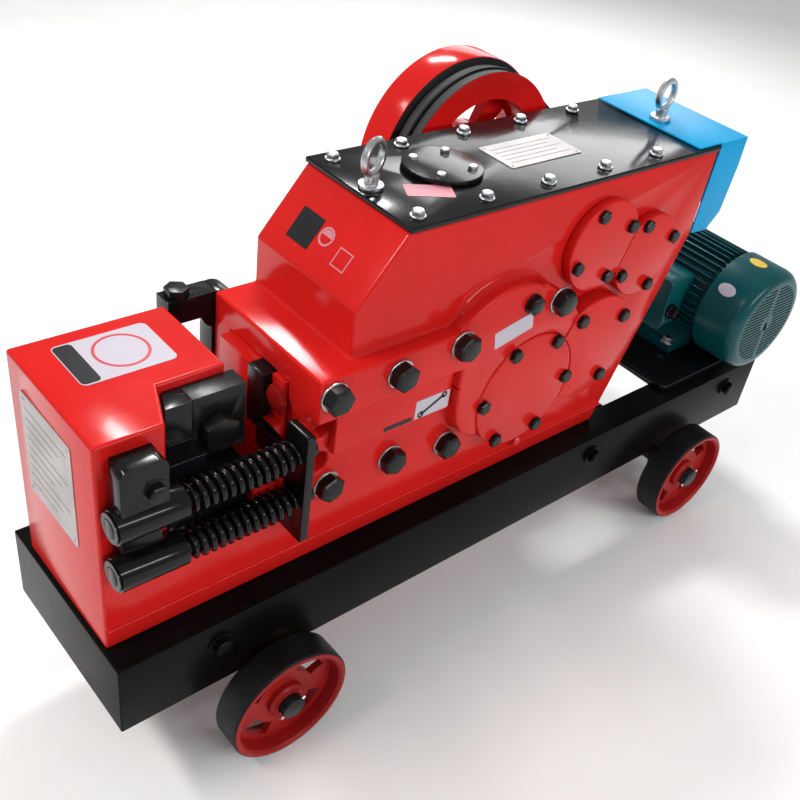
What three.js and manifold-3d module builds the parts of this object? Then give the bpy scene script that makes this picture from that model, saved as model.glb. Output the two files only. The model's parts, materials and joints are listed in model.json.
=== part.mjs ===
// Rebar cutter: a bench of steel channel on four cast wheels carries a welded gearbox housing.
// The housing holds the fixed blade in its front head and a crank-driven ram behind the throat.
// Millimetres, +Z up, +X from the cutting head to the motor, -Y towards the spring side.
import * as THREE from "three";
import { mergeVertices } from "three/addons/utils/BufferGeometryUtils.js";
import Module from "manifold-3d";

const wasm = await Module();
wasm.setup();

// ---- driving dimensions -------------------------------------------------------------------
const gap = 0.4;                 // clearance between pieces that touch on the real machine
const baseLength = 1156;
const baseWidth = 247;
const channelHeight = 100;       // a 100 x 48 rolled channel
const channelFlange = 48;
const channelWeb = 5.5;
const flangeThickness = 8.5;
const wheelRadius = 80;
const wheelWidth = 43;
const wheelInset = 131;          // from the middle plane to the inner face of a wheel
const axleRadius = 15;
const axleX = [190, 971];
const axleDrop = 46;             // axle centre below the bench
const deck = wheelRadius + axleDrop + channelHeight;   // top of the bench above the ground

const wallY = 90;                // outer faces of the housing sides
const wallThickness = 22;
const cavityY = wallY - wallThickness;
const headFront = 5;
const headRear = 176;
const blockFront = 239;
const blockTop = 271;            // heights from here on are above the bench
const throatWall = 150;
const kinkX = 291;
const kinkZ = 328;
const coverFront = 352;
const coverRear = 881;
const housingTop = 403;
const rearBendX = 876;            // the rear wall leans forward below this point
const rearBendZ = 283;
const rearFootX = 767;
const coverThickness = 6;

const crankX = 566;
const crankZ = 143;
const throwRadius = 20;          // half of the 40 mm stroke
const gear = {                   // modules and tooth counts of the three reductions
  first: { module: 4, pinion: 14, wheel: 38 },
  second: { module: 4, pinion: 27, wheel: 43 },
  third: { module: 5, pinion: 11, wheel: 37 },
};
const centreDistance = (stage) => (stage.module * (stage.pinion + stage.wheel)) / 2;
const direction = { third: 12.5, second: 54.6, first: 159.8 };   // degrees, shaft to shaft
const polar = ([x, z], length, degrees) => [
  x + length * Math.cos(THREE.MathUtils.degToRad(degrees)),
  z + length * Math.sin(THREE.MathUtils.degToRad(degrees)),
];
const crankAt = [crankX, crankZ];
const layAt = polar(crankAt, centreDistance(gear.third), direction.third);
const countershaftAt = polar(layAt, centreDistance(gear.second), direction.second);
const inputAt = polar(countershaftAt, centreDistance(gear.first), direction.first);

const yokeSlotZ = [190, 142];    // open slots in the near side behind the yoke

const ramHalfWidth = 55;
const ramBottom = 78;
const ramTop = 238;
const ramFront = 224.4;
const ramRear = 432;
const rodTipX = 402;
const rodTipRadius = 24;
const cutPlane = -34;            // the bar is sheared in this plane
const fixedEdge = 184;           // cutting edge of the fixed blade
const movingEdge = 222;          // cutting edge of the moving blade with the ram drawn back
const screwX = 199;
const screwRadius = 8;

const springY = -110;
const springZ = [190, 127];      // upper and lower spring
const sleeveEnd = 82;
const yokeFront = 214;
const yokeThickness = 10;
const guideRodRadius = 10;

const motorX = 1091;
const motorZ = 102;
const motorRadius = 74;
const motorShaftRadius = 14;
const beltY = [137.5, 156.5];
const beltWidth = 16;
const beltDepth = 11;
const flywheelBeltRadius = 131;
const motorBeltRadius = 37;

// ---- colours and finishes -----------------------------------------------------------------
const finish = (color, roughness, metalness) =>
  new THREE.MeshStandardMaterial({ color, roughness, metalness });
const redPaint = () => finish(0xc8201a, 0.28, 0.0);
const blackPaint = () => finish(0x121214, 0.25, 0.0);
const tealPaint = () => finish(0x0b5558, 0.35, 0.0);
const bluePaint = () => finish(0x12a0d2, 0.35, 0.0);
const castRed = () => finish(0x9c1a17, 0.5, 0.0);
const steel = () => finish(0x9a9c9e, 0.35, 1.0);
const darkSteel = () => finish(0x2c2b2a, 0.45, 0.6);
const zinc = () => finish(0xc8ccd0, 0.3, 1.0);
const bronze = () => finish(0xb08040, 0.4, 1.0);
const belt = () => finish(0x161616, 0.8, 0.0);

// ---- solids -------------------------------------------------------------------------------
function solid(geometry) {
  const bare = geometry.clone();
  bare.deleteAttribute("normal");
  bare.deleteAttribute("uv");
  const merged = mergeVertices(bare, 1e-4);
  return new wasm.Manifold(new wasm.Mesh({
    numProp: 3,
    vertProperties: new Float32Array(merged.attributes.position.array),
    triVerts: new Uint32Array(merged.index.array),
  }));
}

function geometryOf(manifold) {
  const mesh = manifold.getMesh();
  const geometry = new THREE.BufferGeometry();
  geometry.setAttribute("position", new THREE.BufferAttribute(mesh.vertProperties, 3));
  geometry.setIndex(new THREE.BufferAttribute(mesh.triVerts, 1));
  geometry.computeVertexNormals();
  return geometry;
}

const join = (first, ...others) => others.reduce((sum, other) => sum.add(other), first);
const cut = (first, ...others) => others.reduce((rest, other) => rest.subtract(other), first);

function extrude(points, depth, curveSegments = 5) {
  const shape = points instanceof THREE.Shape ? points
    : new THREE.Shape(points.map(([a, b]) => new THREE.Vector2(a, b)));
  return new THREE.ExtrudeGeometry(shape, { depth, bevelEnabled: false, curveSegments });
}

const alongX = new THREE.Matrix4().makeBasis(
  new THREE.Vector3(0, 1, 0), new THREE.Vector3(0, 0, 1), new THREE.Vector3(1, 0, 0));
const alongY = new THREE.Matrix4().makeBasis(
  new THREE.Vector3(1, 0, 0), new THREE.Vector3(0, 0, 1), new THREE.Vector3(0, -1, 0));

// Outline in (y, z), from x0 to x1.
const prismX = (points, x0, x1) =>
  solid(extrude(points, x1 - x0).applyMatrix4(alongX).translate(x0, 0, 0));
// Outline in (x, z), from y0 to y1.
const prismY = (points, y0, y1) =>
  solid(extrude(points, y1 - y0).applyMatrix4(alongY).translate(0, y1, 0));
// Outline in (x, y), from z0 to z1.
const prismZ = (points, z0, z1) => solid(extrude(points, z1 - z0).translate(0, 0, z0));

const box = (x0, x1, y0, y1, z0, z1) =>
  solid(new THREE.BoxGeometry(x1 - x0, y1 - y0, z1 - z0)
    .translate((x0 + x1) / 2, (y0 + y1) / 2, (z0 + z1) / 2));

const cylinderX = (y, z, r, x0, x1, sides = 20) =>
  solid(new THREE.CylinderGeometry(r, r, x1 - x0, sides).rotateZ(-Math.PI / 2)
    .translate((x0 + x1) / 2, y, z));
const cylinderY = ([x, z], r, y0, y1, sides = 24) =>
  solid(new THREE.CylinderGeometry(r, r, y1 - y0, sides).translate(x, (y0 + y1) / 2, z));
const cylinderZ = (x, y, r, z0, z1, sides = 24) =>
  solid(new THREE.CylinderGeometry(r, r, z1 - z0, sides).rotateX(Math.PI / 2)
    .translate(x, y, (z0 + z1) / 2));

// Round solid about an axis along Y; the profile is a list of [radius, y].
const turnedY = ([x, z], profile, sides = 40) =>
  solid(new THREE.LatheGeometry(profile.map(([r, y]) => new THREE.Vector2(r, y)), sides)
    .translate(x, 0, z));

// A rectangle with round corners, as an outline in two axes.
function roundedOutline(a0, a1, b0, b1, radius) {
  const shape = new THREE.Shape();
  shape.moveTo(a0 + radius, b0);
  shape.lineTo(a1 - radius, b0);
  shape.absarc(a1 - radius, b0 + radius, radius, -Math.PI / 2, 0);
  shape.lineTo(a1, b1 - radius);
  shape.absarc(a1 - radius, b1 - radius, radius, 0, Math.PI / 2);
  shape.lineTo(a0 + radius, b1);
  shape.absarc(a0 + radius, b1 - radius, radius, Math.PI / 2, Math.PI);
  shape.lineTo(a0, b0 + radius);
  shape.absarc(a0 + radius, b0 + radius, radius, Math.PI, 1.5 * Math.PI);
  return shape;
}

// Hex head on a shank along -Y, resting on the plane y = seat.
function hexBoltY([x, z], acrossFlats, headHeight, seat, shankRadius, shankLength) {
  const radius = acrossFlats / Math.sqrt(3);
  return join(
    cylinderY([x, z], radius, seat - headHeight, seat, 6),
    cylinderY([x, z], shankRadius, seat - 1, seat + shankLength, 16),
  );
}

const root = new THREE.Group();
const shell = new THREE.Group();          // carries the heights measured from the bench top
shell.position.z = deck;
root.add(shell);

function part(name, material, manifold, parent = shell) {
  const mesh = new THREE.Mesh(geometryOf(manifold), material);
  mesh.name = name;
  parent.add(mesh);
  return mesh;
}

// ---- bench, axles and wheels --------------------------------------------------------------
function bench() {
  const half = baseWidth / 2;
  const frame = cut(
    box(0, baseLength, -half, half, -channelHeight, 0),
    box(channelFlange, baseLength - channelFlange, -half + channelFlange, half - channelFlange,
      -channelHeight - 1, 1),
    box(channelWeb, baseLength - channelWeb, -half + channelWeb, half - channelWeb,
      -channelHeight + flangeThickness, -flangeThickness),
  );
  const hangerHalf = 24;
  const hangers = axleX.flatMap((x) => [-1, 1].map((side) => {
    const inner = side < 0 ? -half + 12 : half - 22;
    const outline = [
      [x - hangerHalf, -channelHeight + 1], [x - 16, -channelHeight - axleDrop - 18],
      [x + 16, -channelHeight - axleDrop - 18], [x + hangerHalf, -channelHeight + 1],
    ];
    return prismY(outline, inner, inner + 10);
  }));
  const bores = axleX.map((x) =>
    cylinderY([x, -channelHeight - axleDrop], axleRadius + gap, -half, half, 24));
  part("base_frame", blackPaint(), cut(join(frame, ...hangers), ...bores));
}

function axle(name, x) {
  const end = wheelInset + wheelWidth + 4;
  part(name, darkSteel(),
    cylinderY([x, -channelHeight - axleDrop], axleRadius, -end, end, 24));
}

function wheel(name, x, side) {
  const r = wheelRadius;
  const profile = [
    [axleRadius + gap, wheelInset], [28, wheelInset], [28, wheelInset + 15],
    [r - 14, wheelInset + 15], [r - 12, wheelInset], [r, wheelInset],
    [r, wheelInset + wheelWidth], [r - 12, wheelInset + wheelWidth], [r - 16, wheelInset + 24],
    [26, wheelInset + 24], [26, wheelInset + wheelWidth - 6],
    [axleRadius + gap, wheelInset + wheelWidth - 6], [axleRadius + gap, wheelInset],
  ];
  const centre = [x, -channelHeight - axleDrop];
  let body = turnedY(centre, profile, 24);
  for (let i = 0; i < 4; i += 1) {
    const middle = Math.PI / 4 + (i * Math.PI) / 2;
    const window = new THREE.Shape();
    window.absarc(0, 0, 58, middle - 0.52, middle + 0.52, false);
    window.absarc(0, 0, 34, middle + 0.42, middle - 0.42, true);
    const slot = solid(extrude(window, 60, 3).applyMatrix4(alongY)
      .translate(x, wheelInset + 50, centre[1]));
    body = body.subtract(slot);
  }
  if (side < 0) body = body.mirror([0, 1, 0]);
  part(name, castRed(), body);
}

// ---- welded housing: cutting head, throat, ram guide and gearbox ---------------------------
const housingOutline = [
  [headFront, 0], [headFront, blockTop], [headRear, blockTop], [headRear, throatWall],
  [blockFront, throatWall], [blockFront, blockTop], [kinkX, blockTop], [kinkX, kinkZ],
  [coverFront, housingTop], [coverRear, housingTop], [rearBendX, rearBendZ], [rearFootX, 0],
];
const cavityOutline = [
  [336, 30], [336, 258], [303, 272], [303, 323], [366, 404], [868, 404], [864, rearBendZ],
  [763, 30],
];
const pocketWall = -33.5;        // the blade holder lies between this plane and the near side
const pocketFloor = 110;
const slabBottom = 216;          // underside of the raised slab on the near side
const slabFace = -112;           // outer face of the slab and of the boss behind it
const slabRear = 443;
const bossAt = [510, 208];
const bossRadius = 102;
const crankCoverRadius = 82;
const archFoot = 187;            // the boss arch stops this high
const bossFoot = [
  [slabRear, slabBottom], [445, 160], [450, 135], [462, 115], [480, 104], [500, 96],
  crankAt, [crankX, slabBottom],
];
const tailOutline = [[560, archFoot], [613, archFoot], [640, 235], [612, 268], [560, 300]];
const tailClearance = [[550, 186], [613.6, 186.4], [640.7, 235], [612.4, 268.6], [550, 310]];

function sideSlab() {
  const shape = [
    [blockFront, slabBottom], [blockFront, blockTop], [slabRear, blockTop], [slabRear, slabBottom],
  ];
  const inner = -wallY + 1;
  const arch = cut(
    cylinderY(bossAt, bossRadius, slabFace, inner, 44),
    box(300, slabRear, -200, 0, 0, slabBottom),
    box(300, 700, -200, 0, 0, archFoot),
  );
  const lowerParts = [bossFoot, tailOutline].map((outline) => prismY(outline, slabFace, inner));
  return cut(join(prismY(shape, slabFace, inner), arch, ...lowerParts),
    cylinderY(crankAt, crankCoverRadius + gap, -200, -wallY, 36));
}

function housing() {
  const notch = [
    [77, -wallY - 1], [100, pocketWall], [headRear + 1, pocketWall], [headRear + 1, -wallY - 1],
  ];
  const bores = [
    [crankAt, 36.4], [layAt, 30.4], [countershaftAt, 28.4], [inputAt, 30.4],
  ].map(([at, r]) => cylinderY(at, r, -wallY - 1, wallY + 1, 32));
  const slots = yokeSlotZ.map((z) =>
    prismY(roundedOutline(blockFront - 30, 274, z - 14, z + 14, 13.9), -wallY - 1, -wallY + 18));
  const body = cut(
    prismY(housingOutline, -wallY, wallY),
    prismY(cavityOutline, -cavityY, cavityY),
    box(headRear, 337, -ramHalfWidth - gap, ramHalfWidth + gap, ramBottom - gap, ramTop + gap),
    box(headRear, blockFront, -ramHalfWidth - gap, ramHalfWidth + gap, ramBottom - gap, 300),
    prismZ(notch, pocketFloor, blockTop + 1),
    ...slots,
    ...bores,
  );
  part("main_housing", redPaint(), join(body, sideSlab()));
}

function topCover() {
  const plate = cut(
    box(coverFront - 1, coverRear + 1, -wallY - 2, wallY + 2,
      housingTop + gap, housingTop + gap + coverThickness),
    cylinderZ(476, 5, 34, housingTop, housingTop + 20, 32),
  );
  part("top_cover", blackPaint(), plate);
  const top = housingTop + gap + coverThickness + gap;
  part("inspection_cover", blackPaint(), cylinderZ(476, 5, 47, top, top + 6, 40));
}

function eyebolt(name, x, base, turn) {
  const ring = new THREE.TorusGeometry(18, 4.5, 6, 18).rotateX(Math.PI / 2).rotateZ(turn);
  const body = join(
    cylinderZ(x, 0, 14, base, base + 5, 16),
    cylinderZ(x, 0, 8, base + 4, base + 16, 10),
    solid(ring.translate(x, 0, base + 34)),
  );
  part(name, zinc(), body);
}

function cover(name, at, radius, depth, side, others = []) {
  const y0 = side < 0 ? -wallY - gap - depth : wallY + gap;
  part(name, redPaint(), cut(cylinderY(at, radius, y0, y0 + depth, side < 0 ? 36 : 24), ...others));
}

// Half space on the far side of the line midway between two shafts.
function beyondMiddle(from, to) {
  const middle = [(from[0] + to[0]) / 2, (from[1] + to[1]) / 2];
  const angle = Math.atan2(to[1] - from[1], to[0] - from[0]);
  const geometry = new THREE.BoxGeometry(100, 300, 400).translate(50 - gap / 2, 0, 0)
    .rotateY(-angle).translate(middle[0], 0, middle[1]);
  return solid(geometry);
}

function covers() {
  const shaftCover = { near: 13, far: 12 };
  cover("crank_cover", crankAt, crankCoverRadius, 22, -1);
  cover("layshaft_cover", layAt, 77, 22, -1,
    [cylinderY(crankAt, crankCoverRadius + 2 * gap, -200, 0, 36), prismY(tailClearance, -200, 0)]);
  cover("input_cover", inputAt, 61, shaftCover.near, -1, [beyondMiddle(inputAt, countershaftAt)]);
  cover("countershaft_cover", countershaftAt, 58, shaftCover.near, -1,
    [beyondMiddle(countershaftAt, inputAt)]);
  cover("crank_cover_far", crankAt, 70, shaftCover.far, 1);
  cover("layshaft_cover_far", layAt, 46, shaftCover.far, 1);
  cover("countershaft_cover_far", countershaftAt, 42, shaftCover.far, 1);
  cover("input_seal_cover", inputAt, 50, shaftCover.far, 1,
    [cylinderY(inputAt, 18.6, 0, 200, 20)]);
}

// ---- cutting head fittings ----------------------------------------------------------------
const holderTop = 262;
const bladeBoltAt = [149, 219];

function cuttingHead() {
  const back = pocketWall - gap;
  const holder = join(
    box(101, 170, -wallY + 1, back, pocketFloor + gap, 183),
    prismZ([[79, -wallY + 1], [122, -wallY + 1], [122, -60], [96, -60]], pocketFloor + gap, 216),
    prismZ([[92, -62], [122, -62], [122, back], [106, back], [101, back - 6]], pocketFloor + gap, holderTop),
  );
  part("blade_holder", blackPaint(), holder);
  const bladeBore = cylinderY(bladeBoltAt, 12.4, -80, 0, 24);
  part("fixed_blade", darkSteel(),
    box(122 + gap, fixedEdge, -61, cutPlane - gap, 183 + gap, holderTop).subtract(bladeBore));
  part("fixed_blade_bolt", darkSteel(), hexBoltY(bladeBoltAt, 36, 15, -61 - gap, 12, 26));
}

// Bracket on the far side that reaches over the bar, with a screw that holds the bar down.
function holdDown() {
  const inner = wallY + gap;
  const middle = wallY + 13;
  const outer = inner + 26;
  const bracket = join(
    box(182, 240, inner, outer, 240, 270),
    box(236, 288, inner, outer, 176, 250),
    cylinderY([246, 246], 24, inner, outer, 28),
  );
  part("hold_down_bracket", blackPaint(),
    cut(bracket, cylinderZ(screwX, middle, screwRadius + gap, 230, 300, 16)));
  part("hold_down_screw", darkSteel(), join(
    cylinderZ(screwX, middle, screwRadius, 241, 272, 16),
    cylinderZ(screwX, middle, 14, 270 + gap, 280, 6),
  ));
}

// ---- ram, blade and spring return ---------------------------------------------------------
function ram() {
  const pocketHalf = rodTipRadius + throwRadius + 3;
  const body = cut(
    box(ramFront, ramRear, -ramHalfWidth, ramHalfWidth, ramBottom, ramTop),
    box(330, ramRear + 1, -28, 28, crankZ - pocketHalf, crankZ + pocketHalf),
    box(ramFront - 1, 252, cutPlane + 1 - gap, cutPlane + 29 + gap, 165 - gap, ramTop + 1),
    box(ramFront - 1, 234, -ramHalfWidth - 1, cutPlane + 1, 183, ramTop + 1),
  );
  part("ram", redPaint(), body);
  part("moving_blade", darkSteel(), box(movingEdge, 252 - gap,
    cutPlane + 1, cutPlane + 29, 165, ramTop));
}

function springYoke() {
  const back = yokeFront + yokeThickness;
  const plate = join(
    prismX(roundedOutline(-130, -91.6, 76, 222, 3), yokeFront, back),
    box(yokeFront, back, -93, -37, 153, 182),
  );
  const holes = springZ.map((z) => cylinderX(springY, z, guideRodRadius + 1, 200, 240, 16));
  part("spring_yoke", blackPaint(), cut(plate, ...holes));
}

function springBracket() {
  const sleeves = springZ.map((z) => cylinderX(springY, z, 18.5, 10, sleeveEnd, 20));
  const bores = springZ.map((z) =>
    cylinderX(springY, z, guideRodRadius + gap, 9, sleeveEnd + 1, 16));
  const body = join(
    prismX([[-wallY - gap, 112], [-101, 112], [-101, 256], [-wallY - gap, 256]], 20, 62),
    prismY(roundedOutline(15, 64, 198, 260, 11), -120, -100),
    box(20, 62, -108, -100, 118, 202),
    ...sleeves,
  );
  part("spring_bracket", blackPaint(), cut(body, ...bores));
  springZ.forEach((z, i) => {
    const name = i === 0 ? "guide_rod_upper" : "guide_rod_lower";
    part(name, darkSteel(), cylinderX(springY, z, guideRodRadius, 7, 237, 16));
  });
}

// A coil spring drawn as its closed envelope tube with a ring for each turn.
function returnSpring(name, z) {
  const start = sleeveEnd + gap;
  const end = yokeFront - gap;
  const turns = 13;
  const pitch = (end - start) / turns;
  const profile = [[11.6, start]];
  for (let i = 0; i < turns; i += 1) {
    const foot = start + i * pitch;
    profile.push([15.5, foot], [18, foot + 0.5 * pitch]);
  }
  profile.push([15.5, end], [11.6, end], [11.6, start]);
  const geometry = new THREE.LatheGeometry(profile.map(([r, y]) => new THREE.Vector2(r, y)), 12)
    .rotateZ(-Math.PI / 2).translate(0, springY, z);
  part(name, blackPaint(), solid(geometry));
}

// ---- crank, rod and gear train ------------------------------------------------------------
// Spur gear outline with straight-sided stub teeth; phase turns it, in radians.
function gearOutline(module, teeth, phase) {
  const pitchRadius = (module * teeth) / 2;
  const tip = pitchRadius + 0.8 * module;
  const rootRadius = pitchRadius - 1.1 * module;
  const step = (2 * Math.PI) / teeth;
  const points = [];
  for (let i = 0; i < teeth; i += 1) {
    const centre = phase + i * step;
    const tooth = [
      [rootRadius, -0.33], [tip, -0.13], [tip, 0.13], [rootRadius, 0.33],
    ];
    tooth.forEach(([r, share]) => {
      const angle = centre + share * step;
      points.push([r * Math.cos(angle), r * Math.sin(angle)]);
    });
  }
  return points;
}

function spurGear(at, module, teeth, phase, y0, y1, bore) {
  const outline = gearOutline(module, teeth, phase).map(([x, z]) => [x + at[0], z + at[1]]);
  const body = prismY(outline, y0, y1);
  return bore > 0 ? body.subtract(cylinderY(at, bore, y0 - 1, y1 + 1, 20)) : body;
}

// Phase that puts a tooth gap of the driven gear opposite a tooth of the driver.
function meshPhase(driverTeeth, driverPhase, drivenTeeth, degrees) {
  const line = THREE.MathUtils.degToRad(degrees);
  const driverStep = (2 * Math.PI) / driverTeeth;
  const drivenStep = (2 * Math.PI) / drivenTeeth;
  const offset = (line - driverPhase) / driverStep;
  return line + Math.PI + (offset + 0.5) * drivenStep;
}

const gearPlane = { far: [32, 60], near: [-60, -34] };
const bullPhase = 0;
const layPinionPhase = meshPhase(gear.third.wheel, bullPhase, gear.third.pinion, direction.third);
const layWheelPhase = 0;
const counterPinionPhase =
  meshPhase(gear.second.wheel, layWheelPhase, gear.second.pinion, direction.second);
const counterWheelPhase = 0;
const inputPinionPhase =
  meshPhase(gear.first.wheel, counterWheelPhase, gear.first.pinion, direction.first);

const journalRadius = 28;
const eccentricRadius = 45.5;
const pinRadius = 13;

function crank() {
  const eccentric = [crankX + throwRadius, crankZ];
  const shaft = join(
    cylinderY(crankAt, journalRadius, -87, -26, 24),
    cylinderY(eccentric, eccentricRadius, -26.5, 26.5, 32),
    cylinderY(crankAt, journalRadius, 26, 87, 24),
  );
  part("crankshaft", steel(), shaft);
  part("bull_gear", darkSteel(), spurGear(crankAt, gear.third.module, gear.third.wheel,
    bullPhase, ...gearPlane.far, journalRadius + gap));
  for (const [name, side] of [["crank_bush_near", -1], ["crank_bush_far", 1]]) {
    const y0 = side < 0 ? -wallY + 1 : cavityY + 1;
    part(name, bronze(), cylinderY(crankAt, 36, y0, y0 + 20, 32)
      .subtract(cylinderY(crankAt, journalRadius + gap, y0 - 1, y0 + 21, 24)));
  }
  const rod = join(
    cylinderY(eccentric, 60, -25, 25, 32),
    box(rodTipX, crankX - 20, -25, 25, crankZ - 20, crankZ + 20),
    cylinderY([rodTipX, crankZ], rodTipRadius, -25, 25, 32),
  );
  part("connecting_rod", darkSteel(), cut(rod,
    cylinderY(eccentric, eccentricRadius + 3 * gap, -30, 30, 32),
    cylinderY([rodTipX, crankZ], pinRadius + gap, -30, 30, 28)));
  part("wrist_pin", steel(), cylinderY([rodTipX, crankZ], pinRadius, -27, 27, 28));
}

function gearShafts() {
  const end = 86;
  part("layshaft", steel(), join(cylinderY(layAt, 17, -end, end, 20),
    spurGear(layAt, gear.third.module, gear.third.pinion, layPinionPhase, ...gearPlane.far, 0)));
  part("layshaft_gear", darkSteel(), spurGear(layAt, gear.second.module, gear.second.wheel,
    layWheelPhase, ...gearPlane.near, 17 + gap));
  part("countershaft", steel(), join(cylinderY(countershaftAt, 16, -end, end, 20),
    spurGear(countershaftAt, gear.second.module, gear.second.pinion, counterPinionPhase,
      ...gearPlane.near, 0)));
  part("countershaft_gear", darkSteel(), spurGear(countershaftAt, gear.first.module,
    gear.first.wheel, counterWheelPhase, ...gearPlane.far, 16 + gap));
  part("input_shaft", steel(), join(cylinderY(inputAt, 18, -end, 213, 20),
    spurGear(inputAt, gear.first.module, gear.first.pinion, inputPinionPhase,
      ...gearPlane.far, 0)));
}

// ---- flywheel, belts and motor ------------------------------------------------------------
// Side walls and floors of the belt grooves, as [radius, y] points on a pulley profile.
function grooves(outer) {
  const floor = outer - beltDepth - gap;
  const half = beltWidth / 2 + gap;
  return beltY.flatMap((y) => [
    [outer + 2.5, y - half], [floor, y - half + 2], [floor, y + half - 2], [outer + 2.5, y + half],
  ]);
}

function flywheel() {
  const near = 128;
  const far = 214;
  const profile = [
    [18 + gap, near + 26], [40, near + 26], [40, near + 38], [98, near + 38], [98, near],
    [flywheelBeltRadius + 2.5, near], ...grooves(flywheelBeltRadius),
    [flywheelBeltRadius + 2.5, near + 38], [140, near + 40], [140, far], [112, far],
    [108, near + 54], [42, near + 54], [42, far - 6], [18 + gap, far - 6], [18 + gap, near + 26],
  ];
  let body = turnedY(inputAt, profile, 32);
  const windowCount = 5;
  for (let i = 0; i < windowCount; i += 1) {
    const middle = Math.PI / 2 + (i * 2 * Math.PI) / windowCount;
    const window = new THREE.Shape();
    window.absarc(0, 0, 92, middle - 0.42, middle + 0.42, false);
    window.absarc(0, 0, 52, middle + 0.34, middle - 0.34, true);
    body = body.subtract(solid(extrude(window, 120, 4).applyMatrix4(alongY)
      .translate(inputAt[0], 240, inputAt[1])));
  }
  part("flywheel", castRed(), body);
}

// Outline round two pulleys, from the tangent lines and the arcs between them.
function beltOutline(bigRadius, smallRadius) {
  const dx = motorX - inputAt[0];
  const dz = motorZ - inputAt[1];
  const line = Math.atan2(dz, dx);
  const lean = Math.acos((bigRadius - smallRadius) / Math.hypot(dx, dz));
  const shape = new THREE.Shape();
  shape.absarc(inputAt[0], inputAt[1], bigRadius, line + lean, line - lean + 2 * Math.PI, false);
  shape.absarc(motorX, motorZ, smallRadius, line - lean, line + lean, false);
  return shape;
}

function drive() {
  beltY.forEach((y, i) => {
    const loop = beltOutline(flywheelBeltRadius, motorBeltRadius);
    loop.holes.push(beltOutline(flywheelBeltRadius - beltDepth, motorBeltRadius - beltDepth));
    const geometry = new THREE.ExtrudeGeometry(loop,
      { depth: beltWidth - 4, bevelEnabled: false, curveSegments: 18 });
    part(`v_belt_${i + 1}`, belt(),
      solid(geometry.applyMatrix4(alongY).translate(0, y + beltWidth / 2 - 2, 0)));
  });
  const pulley = [
    [motorShaftRadius + gap, 127], [motorBeltRadius + 2.5, 127], ...grooves(motorBeltRadius),
    [motorBeltRadius + 2.5, 167], [motorShaftRadius + gap, 167], [motorShaftRadius + gap, 127],
  ];
  part("motor_pulley", darkSteel(), turnedY([motorX, motorZ], pulley, 24));
}

const motorAt = [motorX, motorZ];
const motorNear = -72;           // ends of the finned body
const motorFar = 96;
const motorPlateTop = 12;
const cowlRadius = 86;
const cowlEnd = -146;

function motorFins() {
  const count = 22;
  const height = 14;
  const length = motorFar - motorNear - 16;
  const angles = Array.from({ length: count }, (unused, i) => (i / count) * 2 * Math.PI);
  const clearOfFeet = angles.filter((angle) => Math.sin(angle) >= -0.55);
  return clearOfFeet.map((angle) => solid(new THREE.BoxGeometry(height, length, 3.2)
    .translate(motorRadius + 3, (motorFar + motorNear) / 2, 0)
    .rotateY(-angle).translate(motorX, 0, motorZ)));
}

function motorFeet() {
  return [-1, 1].map((side) => {
    const outline = [
      [motorX + side * 88, motorPlateTop + gap], [motorX + side * 88, motorPlateTop + 12],
      [motorX + side * 72, motorPlateTop + 16], [motorX + side * 50, motorZ - 30],
      [motorX + side * 30, motorZ - 30], [motorX + side * 30, motorPlateTop + gap],
    ];
    return prismY(side < 0 ? outline : outline.reverse(), -45, 85);
  });
}

function motorFrame() {
  const boxSeat = box(motorX - 92, motorX - 60, -36, 64, motorZ - 34, motorZ + 46);
  const body = cylinderY(motorAt, motorRadius, motorNear, motorFar, 32);
  part("motor_frame", tealPaint(), cut(
    join(body, ...motorFins(), ...motorFeet(), boxSeat),
    cylinderY(motorAt, 60, motorNear + 6, motorFar + 1, 28),
    cylinderY(motorAt, motorShaftRadius + 1, motorNear - 1, motorFar, 24),
  ));
}

function endShield() {
  const bore = motorShaftRadius + gap;
  const rim = motorRadius + 2;
  part("end_shield", tealPaint(), turnedY(motorAt, [
    [bore, motorFar + 4], [59, motorFar - 5], [59, motorFar + gap], [rim, motorFar + gap],
    [rim, motorFar + 9], [40, motorFar + 18], [bore, motorFar + 18], [bore, motorFar + 4],
  ], 28));
}

function rotorAndFan() {
  part("motor_rotor", steel(), join(
    cylinderY(motorAt, motorShaftRadius, -112, 172, 28),
    cylinderY(motorAt, 48, -50, 78, 28),
  ));
  const bladeCount = 6;
  const blades = Array.from({ length: bladeCount }, (unused, i) =>
    solid(new THREE.BoxGeometry(46, 24, 3).translate(40, -103, 0)
      .rotateY((i * 2 * Math.PI) / bladeCount).translate(motorX, 0, motorZ)));
  const hub = cylinderY(motorAt, 22, -122, -88, 28);
  part("motor_fan", blackPaint(), cut(join(hub, ...blades),
    cylinderY(motorAt, motorShaftRadius + gap, -113, -80, 28)));
}

function fanCover() {
  const sheet = 2.5;
  const inner = cowlRadius - sheet;
  const cowl = turnedY(motorAt, [
    [0, cowlEnd], [70, cowlEnd], [81, -141], [cowlRadius, -130], [cowlRadius, motorNear + 2],
    [inner, motorNear + 2], [inner, -129], [79, -139], [69, cowlEnd + sheet], [0, cowlEnd + sheet],
  ], 32);
  const slotPitch = 13;
  const slotReach = 66;
  const slots = [];
  for (let row = -4; row <= 4; row += 1) {
    const z = motorZ + row * slotPitch;
    const half = Math.sqrt(slotReach ** 2 - (row * slotPitch) ** 2);
    for (const [a, b] of [[-half, -4], [4, half]]) {
      slots.push(box(motorX + a, motorX + b, cowlEnd - 4, cowlEnd + 6, z - 3, z + 3));
    }
  }
  part("fan_cover", tealPaint(), cut(cowl, ...slots));
}

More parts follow.
